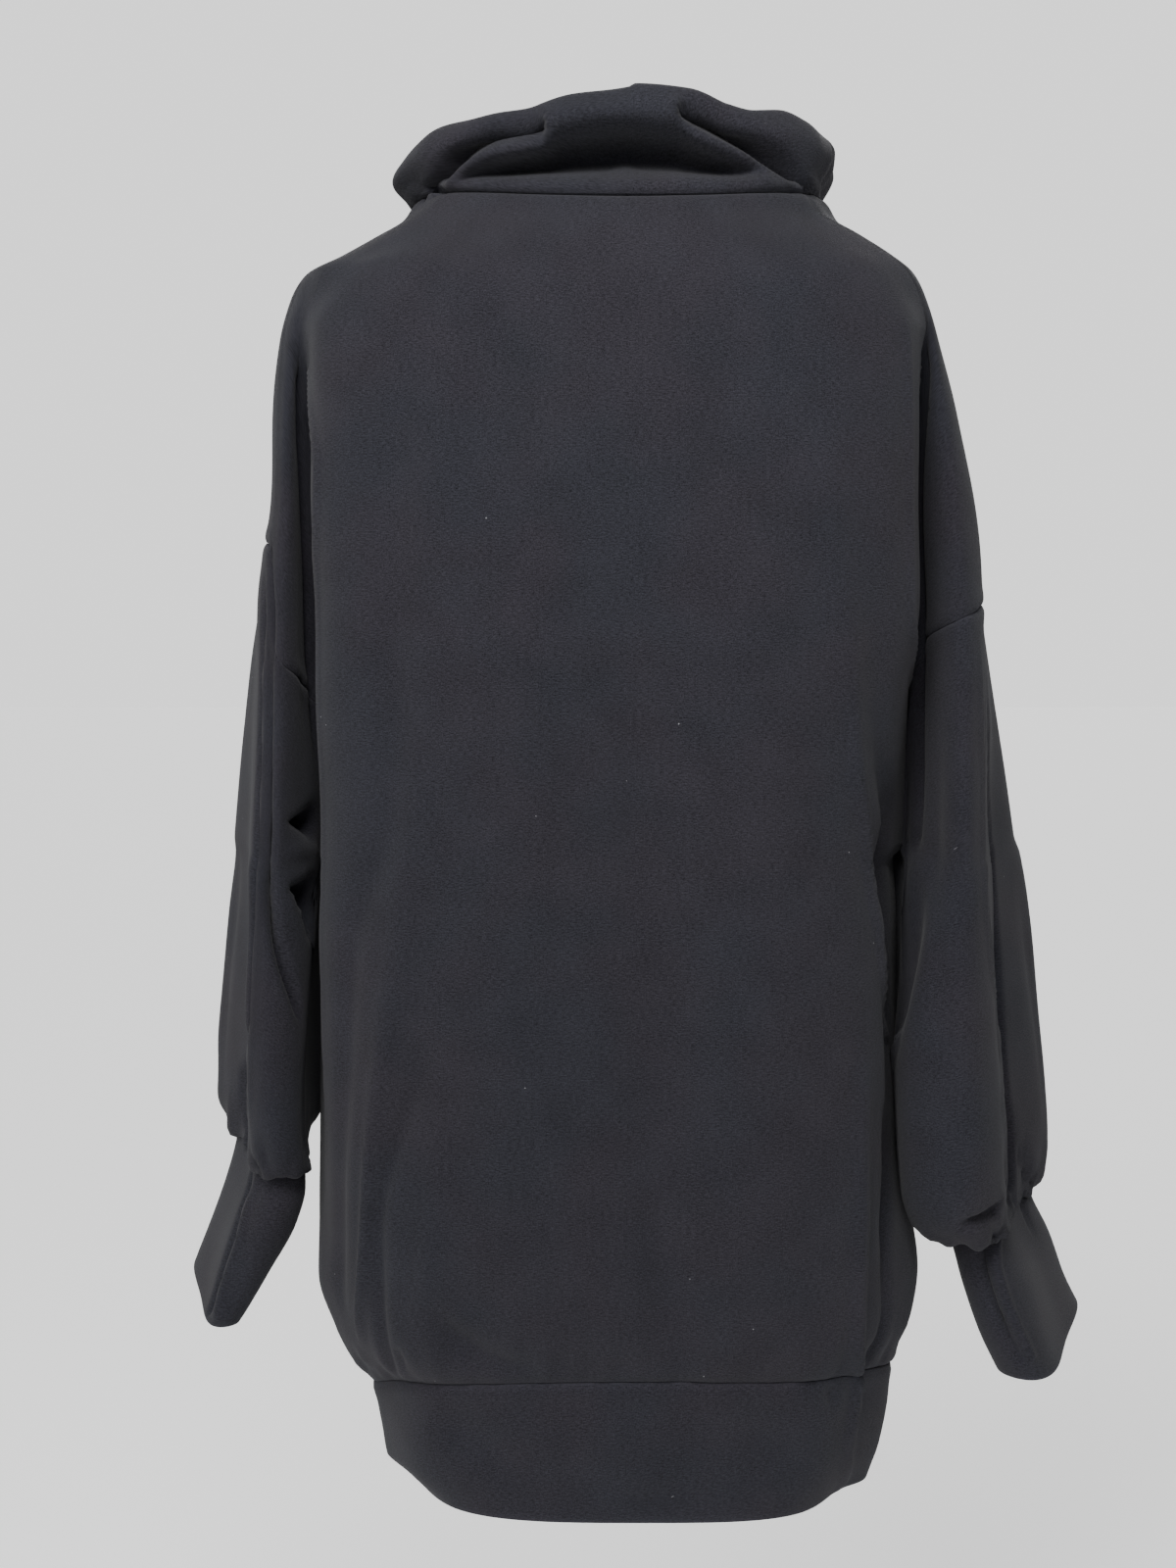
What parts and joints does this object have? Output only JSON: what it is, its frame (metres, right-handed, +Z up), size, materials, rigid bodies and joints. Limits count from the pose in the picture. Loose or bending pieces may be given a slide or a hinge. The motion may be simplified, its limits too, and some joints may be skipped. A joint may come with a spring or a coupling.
{
  "type": "tunic sweatshirt",
  "caption": "Long loose knit sweatshirt with a tall slouched collar, dropped shoulders, full gathered sleeves, deep cuffs and a hem band, hollow as worn.",
  "frame": {"origin": "middle of the neck seam at the height of its two sides, where the garment hangs from the wearer's shoulders", "axes": "+Z up, +Y towards the wearer's back, -Y towards the front, +X towards the wearer's left"},
  "size_m": [0.6733, 0.291, 0.9657],
  "materials": {
    "sweatshirt_knit": "matt, smooth heavy knit"
  },
  "bodies": {
    "root": {"back_panel": "sweatshirt_knit", "front_panel": "sweatshirt_knit", "sleeve_left": "sweatshirt_knit", "sleeve_right": "sweatshirt_knit", "cuff_left": "sweatshirt_knit", "cuff_right": "sweatshirt_knit", "hem_band": "sweatshirt_knit", "collar": "sweatshirt_knit"}
  },
  "joints": []
}
